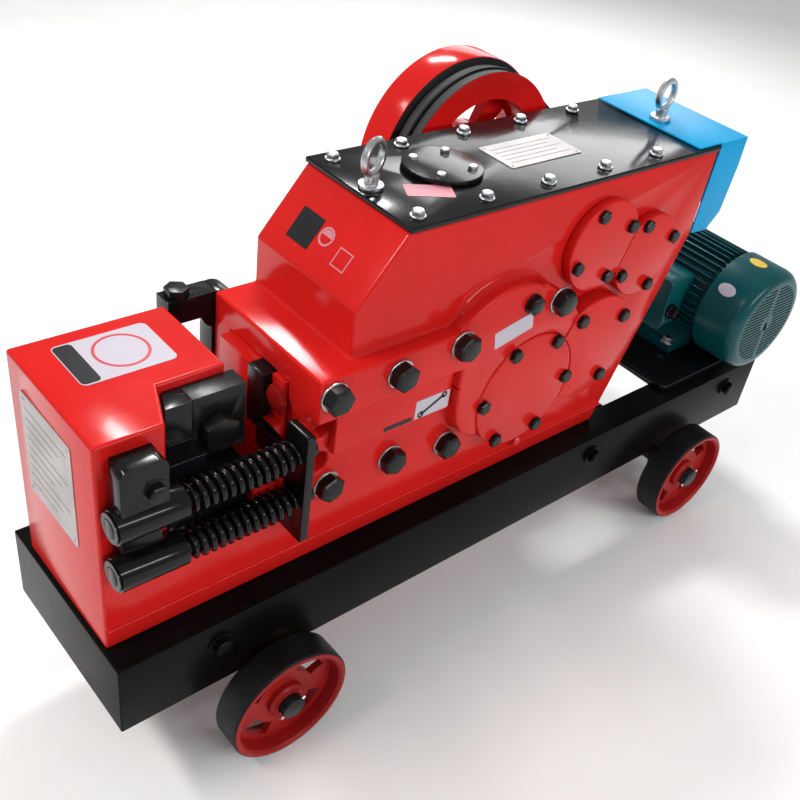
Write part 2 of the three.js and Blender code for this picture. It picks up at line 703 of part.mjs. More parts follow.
function terminalBox() {
  const mouth = motorX - 124;
  part("terminal_box", tealPaint(), cut(
    prismX(roundedOutline(-38, 66, motorZ - 36, motorZ + 48, 10), mouth, motorX - 92 - gap),
    prismX(roundedOutline(-33, 61, motorZ - 31, motorZ + 43, 6), mouth - 1, motorX - 97),
  ));
  part("terminal_lid", tealPaint(),
    prismX(roundedOutline(-40, 68, motorZ - 38, motorZ + 50, 11), mouth - 4, mouth - gap));
}

function motorPlate() {
  part("motor_plate", blackPaint(),
    prismZ(roundedOutline(919, 1181, -105, 105, 14), gap, motorPlateTop));
}

// ---- sheet-metal guard over the back of the gearbox ----------------------------------------
function beltGuard() {
  const sheet = 2;
  const rear = 942;
  const top = housingTop + gap + coverThickness + gap;
  const side = [
    [rearBendX + 1.5, rearBendZ], [913, 280], [934, 304], [rear, 372], [rear, top + sheet],
    [coverRear + 2.5, top + sheet], [coverRear + 2.5, housingTop - 2],
  ];
  const body = join(
    box(838, rear, -wallY + 2, wallY, top, top + sheet),
    prismY(side, -wallY, -wallY + sheet),
    prismY(side, wallY - sheet, wallY),
    prismY([[rear - sheet, 371], [rear, 371], [rear, top + 1], [rear - sheet, top + 1]],
      -wallY, wallY),
    prismY([[934 - sheet, 304], [934, 304], [rear, 372], [rear - sheet, 372]], -wallY, wallY),
  );
  part("belt_guard", bluePaint(), body);
}

function gibPlate() {
  part("gib_plate", redPaint(),
    box(272, slabRear - 1, -wallY - 12, -wallY - gap, 155, slabBottom - gap));
}

// ---- assembly -----------------------------------------------------------------------------
bench();
axle("front_axle", axleX[0]);
axle("rear_axle", axleX[1]);
wheel("wheel_front_near", axleX[0], -1);
wheel("wheel_front_far", axleX[0], 1);
wheel("wheel_rear_near", axleX[1], -1);
wheel("wheel_rear_far", axleX[1], 1);
housing();
gibPlate();
topCover();
eyebolt("eyebolt_front", 370, housingTop + coverThickness + 2 * gap, 0.35);
eyebolt("eyebolt_rear", 862, housingTop + coverThickness + 3 * gap + 2, 0.1);
covers();
cuttingHead();
holdDown();
ram();
springYoke();
springBracket();
returnSpring("return_spring_upper", springZ[0]);
returnSpring("return_spring_lower", springZ[1]);
crank();
gearShafts();
flywheel();
drive();
motorFrame();
endShield();
rotorAndFan();
fanCover();
terminalBox();
motorPlate();
beltGuard();

// The origin is the middle of the footprint box, on the ground.
const bounds = new THREE.Box3().setFromObject(root);
root.position.set(-(bounds.min.x + bounds.max.x) / 2, -(bounds.min.y + bounds.max.y) / 2,
  -bounds.min.z);
root.updateMatrixWorld(true);

export default root;
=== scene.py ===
# Rebar cutter with its finishes, fasteners and labels. Lengths are millimetres from the front of the
# bench (x), from the middle plane (y) and above the bench top (z), until place() turns them to metres.
import json
import math

import bmesh
import bpy
from mathutils import Matrix, Vector


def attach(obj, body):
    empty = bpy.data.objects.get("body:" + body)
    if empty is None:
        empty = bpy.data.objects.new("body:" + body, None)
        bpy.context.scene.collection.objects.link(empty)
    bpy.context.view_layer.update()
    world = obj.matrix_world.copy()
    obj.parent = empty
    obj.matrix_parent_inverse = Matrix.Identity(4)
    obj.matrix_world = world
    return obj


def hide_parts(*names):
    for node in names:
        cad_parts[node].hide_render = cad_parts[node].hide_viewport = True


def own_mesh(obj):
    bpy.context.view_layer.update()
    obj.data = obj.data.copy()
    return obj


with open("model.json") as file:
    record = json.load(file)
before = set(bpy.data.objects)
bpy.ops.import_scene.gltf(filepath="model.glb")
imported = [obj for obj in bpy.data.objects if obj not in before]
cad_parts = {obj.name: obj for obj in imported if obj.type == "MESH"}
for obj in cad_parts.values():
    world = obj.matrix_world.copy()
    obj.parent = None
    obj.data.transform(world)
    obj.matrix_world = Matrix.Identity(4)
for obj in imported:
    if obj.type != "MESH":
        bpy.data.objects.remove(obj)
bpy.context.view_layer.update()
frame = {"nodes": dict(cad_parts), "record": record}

MM = 0.001
BENCH_TOP = 226.0
FRONT_TO_MIDDLE = 590.5
MIDDLE_TO_CENTRE = 18.0
NEAR = (0, -1, 0)
FAR = (0, 1, 0)
UP = (0, 0, 1)


def place(x, y, z):
    return Vector(((x - FRONT_TO_MIDDLE) * MM, (y - MIDDLE_TO_CENTRE) * MM, (z + BENCH_TOP) * MM))


# ---- camera ---------------------------------------------------------------------------------
AZIMUTH, ELEVATION, ROLL = (math.radians(a) for a in (-47.7, 37.08, 10.6))


def add_camera():
    back = Vector((math.sin(AZIMUTH) * math.cos(ELEVATION),
                   -math.cos(AZIMUTH) * math.cos(ELEVATION), math.sin(ELEVATION)))
    right = Vector((math.cos(AZIMUTH), math.sin(AZIMUTH), 0))
    up = back.cross(right)
    c, s = math.cos(ROLL), math.sin(ROLL)
    x_axis, y_axis = c * right + s * up, c * up - s * right
    data = bpy.data.cameras.new("camera")
    data.lens = 46.0
    data.shift_x, data.shift_y = -0.0528, 0.0246
    camera = bpy.data.objects.new("camera", data)
    bpy.context.scene.collection.objects.link(camera)
    rotation = Matrix((x_axis, y_axis, back)).transposed().to_4x4()
    camera.matrix_world = Matrix.Translation(place(-286.8, -758.9, 878.7)) @ rotation
    bpy.context.scene.camera = camera


add_camera()


# ---- materials ------------------------------------------------------------------------------
ROUGH_SPREAD = 0.08


def add_noise(tree, coordinates, scale, detail=2):
    noise = tree.nodes.new("ShaderNodeTexNoise")
    noise.inputs["Scale"].default_value = scale
    noise.inputs["Detail"].default_value = detail
    tree.links.new(coordinates, noise.inputs["Vector"])
    return noise.outputs["Fac"]


def add_relief(tree, height, strength, distance, below=None):
    bump = tree.nodes.new("ShaderNodeBump")
    bump.inputs["Strength"].default_value = strength
    bump.inputs["Distance"].default_value = distance
    tree.links.new(height, bump.inputs["Height"])
    if below:
        tree.links.new(below, bump.inputs["Normal"])
    return bump.outputs["Normal"]


def add_tint(tree, patches, color, mottle):
    ramp = tree.nodes.new("ShaderNodeValToRGB")
    dark, light = ramp.color_ramp.elements
    dark.position = 0.35
    dark.color = [c * (1 - mottle) for c in color] + [1]
    light.position = 0.65
    light.color = [min(1, c * (1 + mottle)) for c in color] + [1]
    tree.links.new(patches, ramp.inputs["Fac"])
    return ramp.outputs["Color"]


def add_dust(tree, coordinates, tint, dust):
    """A few small pale specks of shop dust, where a fine noise peaks."""
    peak = tree.nodes.new("ShaderNodeMapRange")
    peak.inputs["From Min"].default_value = 0.70
    peak.inputs["From Max"].default_value = 0.78
    tree.links.new(add_noise(tree, coordinates, 170, 4), peak.inputs["Value"])
    mix = tree.nodes.new("ShaderNodeMix")
    mix.data_type = "RGBA"
    first, second = (socket for socket in mix.inputs if socket.type == "RGBA")
    second.default_value = list(dust) + [1]
    tree.links.new(peak.outputs["Result"], mix.inputs["Factor"])
    tree.links.new(tint, first)
    return next(socket for socket in mix.outputs if socket.type == "RGBA")


def surface(name, color, roughness, metallic=0.0, coat=0.0, mottle=0.08, mottle_scale=9.0,
            grain=0.04, grain_scale=420.0, wave=0.0, wave_scale=40.0, dust=None, shine=0.5):
    """Principled material whose colour, roughness and relief all vary over the surface."""
    material = bpy.data.materials.new(name)
    material.use_nodes = True
    tree = material.node_tree
    shader = tree.nodes["Principled BSDF"]
    shader.inputs["Metallic"].default_value = metallic
    shader.inputs["Coat Weight"].default_value = coat
    shader.inputs["Specular IOR Level"].default_value = shine
    shader.inputs["Coat Roughness"].default_value = 0.08
    coordinates = tree.nodes.new("ShaderNodeTexCoord").outputs["Object"]
    patches = add_noise(tree, coordinates, mottle_scale, 6)
    tint = add_tint(tree, patches, color, mottle)
    if dust:
        tint = add_dust(tree, coordinates, tint, dust)
    tree.links.new(tint, shader.inputs["Base Color"])
    rough = tree.nodes.new("ShaderNodeMapRange")
    rough.inputs["To Min"].default_value = max(0.03, roughness - ROUGH_SPREAD)
    rough.inputs["To Max"].default_value = roughness + ROUGH_SPREAD
    tree.links.new(patches, rough.inputs["Value"])
    tree.links.new(rough.outputs["Result"], shader.inputs["Roughness"])
    normal = add_relief(tree, add_noise(tree, coordinates, grain_scale, 3), grain, 0.0006)
    if wave:
        normal = add_relief(tree, add_noise(tree, coordinates, wave_scale), wave, 0.002, normal)
    tree.links.new(normal, shader.inputs["Normal"])
    return material


def red_paint():
    return surface("red_paint", (0.60, 0.013, 0.011), 0.17, coat=0.05, mottle=0.05,
                   grain=0.03, wave=0.16, wave_scale=22, dust=(0.62, 0.05, 0.04), shine=0.15)


def black_paint():
    return surface("black_paint", (0.005, 0.005, 0.006), 0.16, coat=0.05, mottle=0.25,
                   grain=0.04, wave=0.20, wave_scale=20, dust=(0.04, 0.04, 0.04), shine=0.20)


def bench_black():
    return surface("bench_black", (0.004, 0.004, 0.004), 0.30, mottle=0.3, grain=0.08,
                   wave=0.2, wave_scale=16, dust=(0.035, 0.035, 0.035), shine=0.05)


def cast_red():
    return surface("cast_red", (0.32, 0.010, 0.010), 0.38, shine=0.15, mottle=0.2,
                   grain=0.35, grain_scale=260, wave=0.2, wave_scale=60)


def tyre_black():
    return surface("tyre_black", (0.006, 0.006, 0.007), 0.5, shine=0.2, mottle=0.4, mottle_scale=30,
                   grain=0.5, grain_scale=300, dust=(0.06, 0.06, 0.065))


def teal_paint():
    return surface("teal_paint", (0.002, 0.068, 0.076), 0.24, shine=0.25, mottle=0.12,
                   grain=0.2, grain_scale=300, dust=(0.02, 0.12, 0.13))


def blue_paint():
    return surface("blue_paint", (0.001, 0.32, 0.63), 0.32, shine=0.08, mottle=0.05,
                   grain=0.15, grain_scale=350, wave=0.1)


def steel():
    return surface("steel", (0.56, 0.57, 0.58), 0.3, metallic=1.0, mottle=0.08, grain=0.2,
                   grain_scale=700)


def dark_steel():
    return surface("dark_steel", (0.007, 0.007, 0.007), 0.26, shine=0.24, mottle=0.3,
                   grain=0.2, grain_scale=380)


def zinc():
    return surface("zinc", (0.62, 0.63, 0.65), 0.3, metallic=1.0, mottle=0.15, mottle_scale=70,
                   grain=0.15, grain_scale=600)


def bronze():
    return surface("bronze", (0.52, 0.30, 0.11), 0.35, metallic=1.0, mottle=0.15, grain=0.2)


def belt_rubber():
    return surface("belt", (0.020, 0.020, 0.021), 0.62, mottle=0.35, mottle_scale=30, grain=0.5,
                   grain_scale=500)


def plate_silver():
    return surface("plate_silver", (0.46, 0.44, 0.44), 0.50, metallic=0.3, mottle=0.14,
                   mottle_scale=24, grain=0.12, grain_scale=900)


def plate_rule():
    return surface("plate_rule", (0.20, 0.18, 0.18), 0.5, mottle=0.3, mottle_scale=300, grain=0.05)


def label_white():
    return surface("label_white", (0.50, 0.47, 0.53), 0.4, shine=0.3, mottle=0.03, grain=0.05)


def label_black():
    return surface("label_black", (0.008, 0.009, 0.012), 0.35, shine=0.3, mottle=0.2, grain=0.05)


def label_pink():
    return surface("label_pink", (0.58, 0.20, 0.25), 0.42, mottle=0.06, grain=0.05)


def label_red():
    return surface("label_red", (0.55, 0.03, 0.05), 0.4, mottle=0.05, grain=0.05)


def label_yellow():
    return surface("label_yellow", (0.72, 0.50, 0.02), 0.35, coat=0.2, mottle=0.08, grain=0.05)


MAKERS = {
    "red_paint": red_paint, "black_paint": black_paint, "bench_black": bench_black,
    "cast_red": cast_red, "teal_paint": teal_paint, "blue_paint": blue_paint, "steel": steel,
    "dark_steel": dark_steel, "zinc": zinc, "bronze": bronze, "belt": belt_rubber,
    "tyre_black": tyre_black, "plate_silver": plate_silver, "plate_rule": plate_rule,
    "label_white": label_white, "label_black": label_black, "label_pink": label_pink,
    "label_red": label_red, "label_yellow": label_yellow,
}
LOOKS = {name: make() for name, make in MAKERS.items()}


# ---- carried-over CAD nodes -------------------------------------------------------------------
SHARP = 32  # degrees between faces, above which an edge is rounded


def soften(obj, width, segments, clamp):
    """Joins the facets, then rounds each sharp edge so that it catches the light."""
    weld = obj.modifiers.new("weld", "WELD")
    weld.merge_threshold = 0.02 * MM
    flat = obj.modifiers.new("merge_flat", "DECIMATE")
    flat.decimate_type = "DISSOLVE"
    flat.angle_limit = math.radians(1.0)
    bevel = obj.modifiers.new("edges", "BEVEL")
    bevel.width = width * MM
    bevel.segments = segments
    bevel.limit_method = "ANGLE"
    bevel.angle_limit = math.radians(SHARP)
    bevel.harden_normals = True
    bevel.use_clamp_overlap = clamp
    obj.data.shade_smooth()


EDGE_WIDTHS = {
    "main_housing": 3.5, "gib_plate": 2.5, "base_frame": 1.8, "top_cover": 1.6,
    "inspection_cover": 1.5, "belt_guard": 0.6, "blade_holder": 3.0, "hold_down_bracket": 3.0,
    "spring_bracket": 2.0, "spring_yoke": 1.8, "motor_plate": 1.6, "terminal_box": 1.6,
    "terminal_lid": 1.0, "crank_cover": 2.5, "layshaft_cover": 2.2, "input_cover": 1.8,
    "countershaft_cover": 1.8,
}
FINE_EDGE = 0.8
OWN_LOOKS = {"base_frame": "bench_black"}
FREE_EDGES = ("main_housing", "base_frame", "top_cover")


def finish_cad_nodes():
    slots = {s["node"]: s["material_slot"] for s in frame["record"]["subparts"]}
    for name, obj in frame["nodes"].items():
        obj.data.materials.clear()
        obj.data.materials.append(LOOKS[OWN_LOOKS.get(name, slots[name])])
        segments = 3 if name in EDGE_WIDTHS else 2
        soften(obj, EDGE_WIDTHS.get(name, FINE_EDGE), segments, name not in FREE_EDGES)


# ---- mesh helpers -----------------------------------------------------------------------------
def piece(name, bm, looks, body="machine", bevel=0.0, angle=SHARP):
    mesh = bpy.data.meshes.new(name)
    bmesh.ops.recalc_face_normals(bm, faces=bm.faces)
    bm.to_mesh(mesh)
    bm.free()
    obj = bpy.data.objects.new(name, mesh)
    bpy.context.scene.collection.objects.link(obj)
    for look in looks:
        mesh.materials.append(LOOKS[look])
    mesh.shade_smooth()
    mesh.set_sharp_from_angle(angle=math.radians(angle))
    if bevel:
        soft = obj.modifiers.new("edges", "BEVEL")
        soft.width = bevel * MM
        soft.segments = 2
        soft.limit_method = "ANGLE"
        soft.angle_limit = math.radians(angle)
        soft.harden_normals = True
    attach(obj, body)
    return obj


def basis(axis):
    """Matrix that turns a local +Z axis to the given direction."""
    return Vector(axis).to_track_quat("Z", "Y").to_matrix().to_4x4()


def turned_rings(bm, profile, matrix, segments):
    """One ring of corners round local Z for each (radius, height) point."""
    rings = []
    for radius, height in profile:
        ring = []
        for i in range(segments):
            turn = 2 * math.pi * i / segments
            local = Vector((radius * math.cos(turn), radius * math.sin(turn), height)) * MM
            ring.append(bm.verts.new(matrix @ local))
        rings.append(ring)
    return rings


def join_rings(bm, low, high, look=0):
    for i in range(len(low)):
        j = (i + 1) % len(low)
        bm.faces.new((low[i], low[j], high[j], high[i])).material_index = look


def add_skin(bm, rings):
    """Closed tube through the rings, with both ends filled."""
    for low, high in zip(rings, rings[1:]):
        join_rings(bm, low, high)
    bm.faces.new(rings[0])
    bm.faces.new(list(reversed(rings[-1])))


def add_turned(bm, profile, matrix, segments=72, look=0, looks=None):
    """Closed ring of (radius, height) points turned about local Z. looks gives one per span."""
    rings = turned_rings(bm, profile, matrix, segments)
    for k, low in enumerate(rings):
        join_rings(bm, low, rings[(k + 1) % len(rings)], looks[k] if looks else look)


def add_disc(bm, profile, matrix, segments=48, look=0):
    """Turned body filled by a flat face at each end of its profile."""
    rings = turned_rings(bm, profile, matrix, segments)
    for low, high in zip(rings, rings[1:]):
        join_rings(bm, low, high, look)
    bm.faces.new(list(reversed(rings[0]))).material_index = look
    bm.faces.new(rings[-1]).material_index = look


def add_outline(bm, points, matrix, low, high, look=0):
    """Prism of an (a, b) outline between two heights along local Z."""
    bottom = [bm.verts.new(matrix @ (Vector((a, b, low)) * MM)) for a, b in points]
    top = [bm.verts.new(matrix @ (Vector((a, b, high)) * MM)) for a, b in points]
    join_rings(bm, bottom, top, look)
    bm.faces.new(list(reversed(bottom))).material_index = look
    bm.faces.new(top).material_index = look


def plate_edges(solid, k, i, j, bands):
    """Sides of one cell of a web, each with whether it stands open."""
    before = (i - 1) % (len(solid) // bands)
    return [((k, i), (k, j), k == 0 or not solid[k - 1, i]),
            ((k + 1, i), (k + 1, j), k == bands - 1 or not solid[k + 1, i]),
            ((k, i), (k + 1, i), not solid[k, before]),
            ((k, j), (k + 1, j), not solid[k, j])]


def add_plate_with_windows(bm, radii, low, high, windows, matrix, segments=96):
    """Round web between radii[0] and radii[-1]; the middle band is open inside each window."""
    def inside(turn):
        return any(abs((turn - middle + math.pi) % (2 * math.pi) - math.pi) < half
                   for middle, half in windows)
    levels = [turned_rings(bm, [(r, height) for r in radii], matrix, segments)
              for height in (low, high)]
    bands = len(radii) - 1
    solid = {(k, i): not (k == 1 and inside(2 * math.pi * (i + 0.5) / segments))
             for k in range(bands) for i in range(segments)}
    for k, i in (cell for cell, full in solid.items() if full):
        j = (i + 1) % segments
        for level in levels:
            bm.faces.new((level[k][i], level[k][j], level[k + 1][j], level[k + 1][i]))
        for (ka, ia), (kb, ib), edge_open in plate_edges(solid, k, i, j, bands):
            if edge_open:
                bm.faces.new((levels[0][ka][ia], levels[0][kb][ib],
                              levels[1][kb][ib], levels[1][ka][ia]))
    loose = [v for v in bm.verts if not v.link_faces]
    bmesh.ops.delete(bm, geom=loose, context="VERTS")


def frame_at(x, y, z, axis):
    return Matrix.Translation(place(x, y, z)) @ basis(axis)


WASHER_THICK = 2.8


def add_hex_bolt(bm, matrix, flats, height, washer=0.0, washer_look=0, turn=0.0):
    """Chamfered hex head standing on z = 0, with a washer of the given radius under it."""
    base = 0.0
    if washer:
        base = WASHER_THICK
        profile = [(washer - 0.6, 0), (washer, 0.6), (washer, base - 0.6), (washer - 0.6, base)]
        add_disc(bm, profile, matrix, 36, washer_look)
    corner = flats / math.sqrt(3)
    spin = matrix @ Matrix.Rotation(turn, 4, "Z")
    add_disc(bm, [(corner, base), (corner, base + height * 0.82), (flats * 0.47, base + height)],
             spin, 6)
    add_disc(bm, [(flats * 0.44, base + height - 0.2), (flats * 0.40, base + height + 0.25)],
             matrix, 24)


# ---- wheels and flywheel ------------------------------------------------------------------------
AXLE_X = (190, 971)
AXLE_Z = -146
WHEEL_INNER = 131
WHEEL_WIDTH = 43
WHEEL_RADIUS = 80
PIN_OUT = 174.5


def build_wheel(node, body, x, side):
    bm = bmesh.new()
    at = frame_at(x, side * WHEEL_INNER, AXLE_Z, (0, side, 0))
    r, w = WHEEL_RADIUS, WHEEL_WIDTH
    add_turned(bm, [(r - 11, 2), (r - 8, 0), (r - 3, 0), (r, 3), (r, w - 3), (r - 2, w - 0.5),
                    (r - 4, w), (r - 7, w), (r - 10, w - 3), (r - 13, 24)], at, 96,
               looks=[0, 0, 1, 1, 1, 0, 0, 0, 0, 0])
    windows = [(math.pi / 4 + i * math.pi / 2, 0.36) for i in range(4)]
    add_plate_with_windows(bm, [22, 40, 59, r - 9], 15, 25, windows, at)
    add_turned(bm, [(15.6, 0), (23, 0), (25, 3), (24, w - 12), (21, w - 9), (19.5, w - 9),
                    (19.5, w - 7), (15.6, w - 7)], at, 48)
    wheel = piece(node + "_wheel", bm, ["cast_red", "tyre_black"], body, bevel=1.2)
    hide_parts(node)


def build_wheels():
    for end, x in zip(("front", "rear"), AXLE_X):
        for name, side in (("near", -1), ("far", 1)):
            build_wheel(f"wheel_{end}_{name}", f"wheel_{end[0]}{name[0]}", x, side)
    bm = bmesh.new()
    for x in AXLE_X:
        for side in (-1, 1):
            at = frame_at(x, side * PIN_OUT, AXLE_Z, (1, 0, 0.6))
            add_disc(bm, [(2, -19), (2.4, -18), (2.4, 18), (2, 19)], at, 12)
    piece("cotter_pins", bm, ["zinc"])


CRANK = (566, 143)


def polar(origin, length, degrees):
    angle = math.radians(degrees)
    return origin[0] + length * math.cos(angle), origin[1] + length * math.sin(angle)


LAYSHAFT = polar(CRANK, 120, 12.5)
COUNTERSHAFT = polar(LAYSHAFT, 140, 54.6)
INPUT = polar(COUNTERSHAFT, 104, 159.8)
FLYWHEEL_NEAR = 128
LAND = 133.5                     # radius of the lands between the belt grooves
GROOVE = 131 - 11.4


def build_flywheel():
    bm = bmesh.new()
    at = frame_at(INPUT[0], FLYWHEEL_NEAR, INPUT[1], FAR)
    rim = [(98, 0), (LAND, 0), (LAND, 1.1), (GROOVE, 3.1), (GROOVE, 15.9), (LAND, 17.9),
           (LAND, 20.1), (GROOVE, 22.1), (GROOVE, 34.9), (LAND, 36.9), (139, 39), (140, 41),
           (140, 84), (138, 86), (112, 86), (108, 56), (98, 54)]
    grooved = range(1, 10)
    add_turned(bm, rim, at, 128, looks=[1 if k in grooved else 0 for k in range(len(rim))])
    windows = [(math.pi / 2 + i * 2 * math.pi / 5, 0.40) for i in range(5)]
    add_plate_with_windows(bm, [38, 52, 92, 102], 38, 54, windows, at, 120)
    add_turned(bm, [(18.5, 26), (40, 26), (42, 29), (42, 77), (40, 80), (18.5, 80)], at, 64)
    wheel = piece("flywheel_casting", bm, ["red_paint", "tyre_black"], "flywheel_unit",
                  bevel=1.2)
    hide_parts("flywheel")


# ---- return springs -------------------------------------------------------------------------------
SPRING_Y = -110
SPRING_Z = (190, 127)
SPRING_START = 82.4
SPRING_END = 213.6


def spring_ring(bm, z, share, coils, wire, around):
    """Section of the wire at this share of the spring's length, thinner on the ground ends."""
    mean = 14.7
    turn = 2 * math.pi * coils * share
    ease = min(1.0, share * coils / 1.2, (1 - share) * coils / 1.2)
    x = SPRING_START + wire + (SPRING_END - SPRING_START - 2 * wire) * share
    centre = Vector((x, SPRING_Y + mean * math.cos(turn), z + mean * math.sin(turn)))
    outward = Vector((0, math.cos(turn), math.sin(turn)))
    along = Vector((1, 0, 0))
    thick = wire * (0.55 + 0.45 * ease)
    angles = [2 * math.pi * k / around for k in range(around)]
    return [bm.verts.new(place(*(centre + thick * (math.cos(a) * outward + math.sin(a) * along))))
            for a in angles]


def build_spring(node, z):
    bm = bmesh.new()
    coils = 12.5
    steps = int(coils * 36)
    add_skin(bm, [spring_ring(bm, z, n / steps, coils, 3.3, 12) for n in range(steps + 1)])
    coil = piece(node + "_coil", bm, ["black_paint"], angle=60)
    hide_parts(node)
    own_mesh(coil)


def build_rod_ends():
    bm = bmesh.new()
    for z in SPRING_Z:
        at = frame_at(10, SPRING_Y, z, (-1, 0, 0))
        add_turned(bm, [(10.4, 0), (15, 0), (16, 1), (16, 2.4), (10.4, 2.4)], at, 48)
    piece("rod_end_rings", bm, ["dark_steel"])


# ---- bolts --------------------------------------------------------------------------------------
WALL_Y = -90
SLAB_Y = -112
BENCH_HALF = 123.5
LARGE_COVER_Y = -112.4
SMALL_COVER_Y = -103.4
FAR_COVER_Y = 102.4
COVER_TOP = 403 + 6.4


def build_side_bolts():
    bm = bmesh.new()
    seated = [(256, 250, SLAB_Y), (344, 248, SLAB_Y), (435, 256, SLAB_Y), (592, 270, SLAB_Y),
              (275, 105, WALL_Y), (368, 103, WALL_Y), (458, 88, WALL_Y)]
    for n, (x, z, y) in enumerate(seated):
        add_hex_bolt(bm, frame_at(x, y, z, NEAR), 30, 14, 17.6, 1, turn=0.35 * n)
    add_hex_bolt(bm, frame_at(542, SLAB_Y, 279, NEAR), 22, 8, 13, 0, turn=0.2)
    piece("housing_bolts", bm, ["dark_steel", "steel"], bevel=0.5)


def ring_of(centre, radius, count, first):
    return [polar(centre, radius, first + 360.0 * i / count) for i in range(count)]


def build_cover_bolts():
    bm = bmesh.new()
    large = ring_of(CRANK, 74.5, 6, -2) + [(648, 222), (735, 206), (717, 117)]
    for x, z in large:
        add_hex_bolt(bm, frame_at(x, LARGE_COVER_Y, z, NEAR), 17, 7, turn=x)
    for x, z in ring_of(INPUT, 49, 4, 22.5) + ring_of(COUNTERSHAFT, 50, 4, 21):
        add_hex_bolt(bm, frame_at(x, SMALL_COVER_Y, z, NEAR), 16, 6.5, turn=x)
    for centre, radius, count in ((CRANK, 61, 6), (LAYSHAFT, 38, 4), (COUNTERSHAFT, 34, 4),
                                  (INPUT, 41, 4)):
        for x, z in ring_of(centre, radius, count, 45):
            add_hex_bolt(bm, frame_at(x, FAR_COVER_Y, z, FAR), 13, 5, turn=x)
    piece("shaft_cover_bolts", bm, ["dark_steel"], bevel=0.35)


def build_top_bolts():
    """Bolts of the top cover, raised where they also hold the guard, and of its round lid."""
    bm = bmesh.new()
    guard_front = 838
    guard_sheet = 2.4
    lid_thick = 6.4
    for i in range(5):
        x = 374 + 98 * i
        z = COVER_TOP + (guard_sheet if x > guard_front else 0)
        for side in (-1, 1):
            add_hex_bolt(bm, frame_at(x, side * 73, z, UP), 13, 5.5, 9, turn=i)
    for x, y in ring_of((476, 5), 34, 4, 45):
        add_hex_bolt(bm, frame_at(x, y, COVER_TOP + lid_thick, UP), 10, 4, turn=x)
    piece("top_cover_bolts", bm, ["zinc"], bevel=0.35)


# ---- plates and stickers --------------------------------------------------------------------------
HEAD_FRONT = 5
HEAD_TOP = 271
SLOPE = Vector((61, 0, 75)).normalized()
STICKER = 0.4
GIB_FACE = -102


def rounded(a0, a1, b0, b1, radius):
    """Outline of a rectangle with round corners."""
    steps = 6
    points = []
    for ca, cb, start in ((a1 - radius, b0 + radius, -90), (a1 - radius, b1 - radius, 0),
                          (a0 + radius, b1 - radius, 90), (a0 + radius, b0 + radius, 180)):
        for i in range(steps + 1):
            angle = math.radians(start + 90.0 * i / steps)
            points.append((ca + radius * math.cos(angle), cb + radius * math.sin(angle)))
    return points


def bar(a0, a1, b0, b1):
    return [(a0, b0), (a1, b0), (a1, b1), (a0, b1)]


def flat_frame(x, y, z, x_axis, y_axis):
    a, b = Vector(x_axis).normalized(), Vector(y_axis).normalized()
    matrix = Matrix((a, b, a.cross(b))).transposed().to_4x4()
    return Matrix.Translation(place(x, y, z)) @ matrix


def on_top(x, y, z, degrees=0):
    """Frame on a level face, turned about the vertical."""
    c, s = math.cos(math.radians(degrees)), math.sin(math.radians(degrees))
    return flat_frame(x, y, z, (c, s, 0), (-s, c, 0))


def on_side(x, y, z, degrees=0):
    """Frame on a face of the near side, turned about the y axis."""
    c, s = math.cos(math.radians(degrees)), math.sin(math.radians(degrees))
    return flat_frame(x, y, z, (c, 0, s), (-s, 0, c))


def on_front(y, z):
    return flat_frame(HEAD_FRONT, y, z, NEAR, UP)


def build_nameplates():
    bm = bmesh.new()
    add_outline(bm, rounded(555, 675, -29, 31, 3), on_top(0, 0, COVER_TOP), 0, 1.0)
    for x in (560, 670):
        for y in (-24, 26):
            add_disc(bm, [(1.8, 0.9), (1.8, 1.4), (1.1, 1.9)], on_top(x, y, COVER_TOP), 16)
    add_outline(bm, rounded(-63, 45, 111, 240, 4), on_front(0, 0), 0, 1.0)
    for y in (56, -38):
        for z in (118, 233):
            add_disc(bm, [(2, 0.9), (2, 1.4), (1.2, 2.0)], on_front(y, z), 16)
    piece("nameplates", bm, ["plate_silver"], bevel=0.3)


def build_nameplate_rules():
    """Plain lines of uneven length where a plate would carry its text."""
    bm = bmesh.new()
    for row in range(5):
        b = 18 - 9 * row
        line = bar(564, 664 - 12 * (row % 2), b, b + 1.2)
        add_outline(bm, line, on_top(0, 0, COVER_TOP), 0.9, 1.15)
    for row in range(9):
        b = 222 - 12 * row
        line = bar(-54, 34 - 16 * (row % 3), b, b + 1.4)
        add_outline(bm, line, on_front(0, 0), 0.9, 1.15)
    piece("nameplate_rules", bm, ["plate_rule"])


def build_head_sticker():
    bm = bmesh.new()
    add_outline(bm, rounded(40, 142, -3, 70, 7), on_top(0, 0, HEAD_TOP), 0, 0.35)
    add_outline(bm, rounded(41, 61, -1, 68, 5), on_top(0, 0, HEAD_TOP), 0.3, 0.55, 1)
    ring = [(26, 0.3), (26, 0.6), (29, 0.6), (29, 0.3)]
    add_turned(bm, ring, on_top(99, 35, HEAD_TOP), 72, 2)
    piece("head_sticker", bm, ["label_white", "label_black", "label_red"])


def build_cover_sticker():
    bm = bmesh.new()
    add_outline(bm, rounded(-27, 27, -14, 14, 3), on_top(425, -32, COVER_TOP, -28), 0, STICKER)
    piece("cover_sticker", bm, ["label_pink"])


